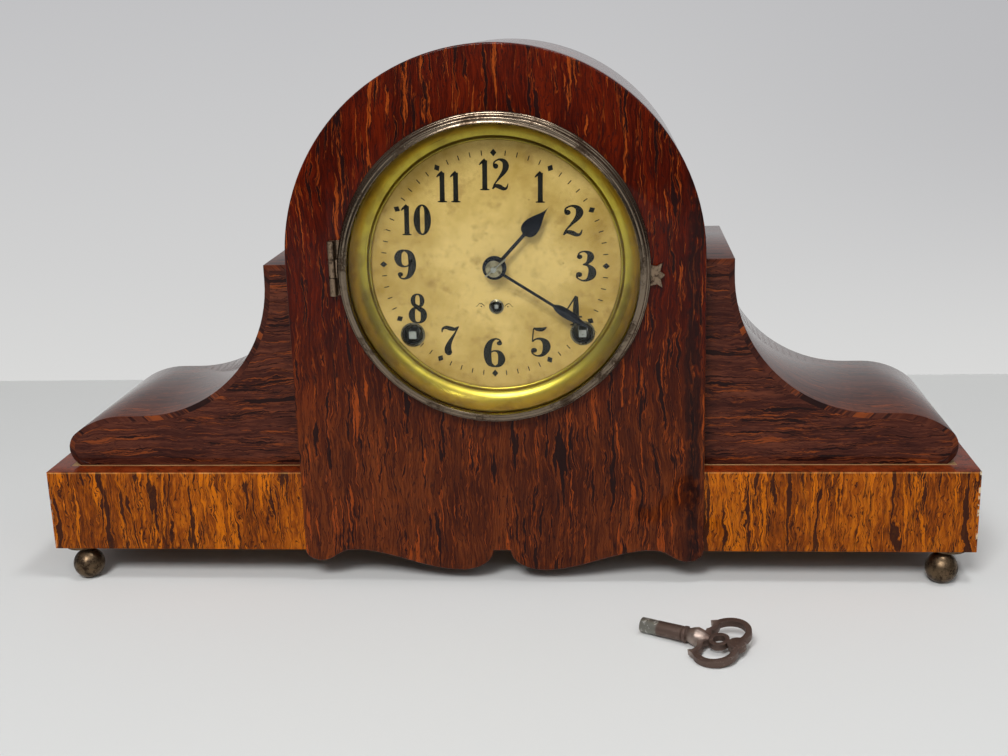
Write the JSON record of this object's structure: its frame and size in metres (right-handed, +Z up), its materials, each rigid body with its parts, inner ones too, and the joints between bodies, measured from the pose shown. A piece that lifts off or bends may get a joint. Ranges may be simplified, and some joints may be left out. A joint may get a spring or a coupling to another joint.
{
  "type": "tambour mantel clock",
  "caption": "Tambour mantel clock: arched front panel and bent hood between two scrolled wings on a plinth, hinged glazed bezel, pendulum movement that strikes, loose winding key.",
  "frame": {"origin": "on the table under the middle of the case, midway between the four feet", "axes": "+X to the right seen from the front, +Y to the back, +Z up; the dial faces -Y"},
  "size_m": [0.497, 0.2223, 0.2833],
  "materials": {
    "case_veneer": "imitation rosewood veneer under gloss lacquer, dark red-brown with orange streaks",
    "plinth_veneer": "imitation rosewood veneer under gloss lacquer, golden orange with dark wavy streaks",
    "bare_wood": "plain unfinished timber",
    "bezel_metal": "tarnished nickel-plated brass, semi-gloss",
    "reflector_brass": "lacquered brass, bright",
    "foot_brass": "antique brass, polished and darkened",
    "movement_brass": "satin brass",
    "dial_cream": "aged gold-cream dial paint with black numerals",
    "blued_steel": "blue-black steel",
    "steel": "plain steel",
    "spring_steel": "tempered spring steel",
    "gong_steel": "blued steel wire",
    "key_iron": "brown patinated cast iron, worn bright at the swelling",
    "black_iron": "black painted cast iron",
    "glass": "clear convex glass"
  },
  "bodies": {
    "case": {"front_panel": "case_veneer", "drum_hood": "case_veneer", "back_board": "bare_wood", "left_wing_cheeks": "case_veneer", "left_wing_top": "case_veneer", "right_wing_cheeks": "case_veneer", "right_wing_top": "case_veneer", "plinth_front_left": "plinth_veneer", "plinth_front_right": "plinth_veneer", "plinth_ends": "plinth_veneer", "plinth_back": "bare_wood", "plinth_deck": "bare_wood", "glue_blocks": "bare_wood", "ball_feet": "foot_brass", "foot_plates": "foot_brass", "bezel_hinge_fixed": "bezel_metal", "dial_plate": "dial_cream", "reflector_ring": "reflector_brass", "winding_grommets": "bezel_metal", "regulator_grommet": "bezel_metal", "case_screws": "steel", "movement_front_plate": "movement_brass", "movement_back_plate": "movement_brass", "movement_pillars": "steel", "movement_brackets": "steel", "mainsprings": "spring_steel", "gong_coil": "gong_steel", "gong_stand": "black_iron", "back_door_hinge_fixed": "movement_brass"},
    "bezel": {"bezel_ring": "bezel_metal", "bezel_glass": "glass", "glass_clip_ring": "bezel_metal", "bezel_hinge_moving": "bezel_metal", "bezel_thumb_tab": "bezel_metal"},
    "rear_door": {"back_door": "bare_wood", "back_door_hinge_moving": "movement_brass"},
    "minute_work": {"minute_hand": "blued_steel", "hand_washer": "bezel_metal", "hand_pin": "steel", "centre_arbor": "steel"},
    "hour_work": {"hour_hand": "blued_steel", "hour_pipe": "movement_brass"},
    "minute_wheel_body": {"minute_wheel": "movement_brass"},
    "time_winder": {"time_winding_arbor": "steel"},
    "time_great": {"time_great_wheel": "movement_brass"},
    "time_second": {"time_second_wheel": "movement_brass"},
    "time_centre": {"centre_wheel": "movement_brass"},
    "time_third": {"third_wheel": "movement_brass"},
    "time_escape": {"escape_wheel": "movement_brass"},
    "verge_body": {"verge": "steel"},
    "pendulum": {"pendulum_rod": "steel", "pendulum_bob": "movement_brass"},
    "regulator": {"regulator_arbor": "steel"},
    "strike_winder": {"strike_winding_arbor": "steel"},
    "strike_great": {"strike_great_wheel": "movement_brass"},
    "strike_second": {"strike_second_wheel": "movement_brass"},
    "strike_third": {"strike_third_wheel": "movement_brass"},
    "fly": {"strike_fly": "movement_brass"},
    "hammer_body": {"hammer": "steel"},
    "key": {"winding_key": "key_iron"}
  },
  "joints": [
    {"name": "bezel_swing", "type": "hinge", "parent": "case", "child": "bezel", "pos_m": [-0.0822, -0.0632, 0.1735], "axis": [0, 0, -1], "range_deg": [0, 110]},
    {"name": "back_door_swing", "type": "hinge", "parent": "case", "child": "rear_door", "pos_m": [-0.066, 0.058, 0.14], "axis": [0, 0, 1], "range_deg": [0, 110]},
    {"name": "minute_hand_turn", "type": "hinge", "parent": "case", "child": "minute_work", "pos_m": [0, -0.057, 0.171], "axis": [0, 1, 0], "continuous": true},
    {"name": "hour_hand_turn", "type": "hinge", "parent": "case", "child": "hour_work", "pos_m": [0, -0.054, 0.171], "axis": [0, 1, 0], "continuous": true},
    {"name": "minute_wheel_turn", "type": "hinge", "parent": "case", "child": "minute_wheel_body", "pos_m": [-0.01299, -0.042, 0.1785], "axis": [0, 1, 0], "continuous": true},
    {"name": "time_winding_turn", "type": "hinge", "parent": "case", "child": "time_winder", "pos_m": [0.0445, -0.02, 0.1352], "axis": [0, 1, 0], "continuous": true},
    {"name": "third_wheel_turn", "type": "hinge", "parent": "case", "child": "time_third", "pos_m": [0.01352, -0.0139, 0.1893], "axis": [0, 1, 0], "continuous": true},
    {"name": "centre_wheel_turn", "type": "hinge", "parent": "case", "child": "time_centre", "pos_m": [0, -0.0254, 0.171], "axis": [0, 1, 0], "continuous": true},
    {"name": "time_second_turn", "type": "hinge", "parent": "case", "child": "time_second", "pos_m": [0.02601, -0.0084, 0.16064], "axis": [0, 1, 0], "continuous": true},
    {"name": "time_great_turn", "type": "hinge", "parent": "case", "child": "time_great", "pos_m": [0.0445, -0.0139, 0.1352], "axis": [0, 1, 0], "continuous": true},
    {"name": "escape_wheel_turn", "type": "hinge", "parent": "case", "child": "time_escape", "pos_m": [0, -0.0299, 0.203], "axis": [0, 1, 0], "continuous": true},
    {"name": "pendulum_swing", "type": "hinge", "parent": "case", "child": "pendulum", "pos_m": [0, 0.0047, 0.223], "axis": [0, 1, 0], "range_deg": [-4, 4]},
    {"name": "verge_rock", "type": "hinge", "parent": "case", "child": "verge_body", "pos_m": [0, -0.0299, 0.223], "axis": [0, 1, 0], "range_deg": [-4, 4]},
    {"name": "strike_winding_turn", "type": "hinge", "parent": "case", "child": "strike_winder", "pos_m": [-0.0445, -0.02, 0.1352], "axis": [0, 1, 0], "continuous": true},
    {"name": "strike_third_turn", "type": "hinge", "parent": "case", "child": "strike_third", "pos_m": [-0.03206, -0.0324, 0.18534], "axis": [0, 1, 0], "continuous": true},
    {"name": "strike_second_turn", "type": "hinge", "parent": "case", "child": "strike_second", "pos_m": [-0.03904, -0.0084, 0.16617], "axis": [0, 1, 0], "continuous": true},
    {"name": "strike_great_turn", "type": "hinge", "parent": "case", "child": "strike_great", "pos_m": [-0.0445, -0.0139, 0.1352], "axis": [0, 1, 0], "continuous": true},
    {"name": "fly_turn", "type": "hinge", "parent": "case", "child": "fly", "pos_m": [-0.02369, -0.0219, 0.19985], "axis": [0, 1, 0], "continuous": true},
    {"name": "hammer_swing", "type": "hinge", "parent": "case", "child": "hammer_body", "pos_m": [-0.066, 0.03, 0.169], "axis": [0, 1, 0], "range_deg": [0, 12]},
    {"name": "regulator_turn", "type": "hinge", "parent": "case", "child": "regulator", "pos_m": [0, -0.044, 0.1497], "axis": [0, 1, 0], "range_deg": [-720, 720]},
    {"name": "key_lift", "type": "slide", "parent": "case", "child": "key", "axis": [0, 0, 1], "range_m": [0, 0.12]}
  ],
  "couplings": [
    {"joint": "hour_hand_turn", "follows": "minute_hand_turn", "ratio": 0.083333},
    {"joint": "minute_wheel_turn", "follows": "minute_hand_turn", "ratio": -0.33333},
    {"joint": "centre_wheel_turn", "follows": "third_wheel_turn", "ratio": -0.083333},
    {"joint": "time_second_turn", "follows": "third_wheel_turn", "ratio": 0.010753},
    {"joint": "time_great_turn", "follows": "third_wheel_turn", "ratio": -0.0013034},
    {"joint": "escape_wheel_turn", "follows": "third_wheel_turn", "ratio": -10},
    {"joint": "verge_rock", "follows": "pendulum_swing", "ratio": 1},
    {"joint": "strike_second_turn", "follows": "strike_third_turn", "ratio": -0.13333},
    {"joint": "strike_great_turn", "follows": "strike_third_turn", "ratio": 0.016162},
    {"joint": "fly_turn", "follows": "strike_third_turn", "ratio": -8.5714}
  ]
}
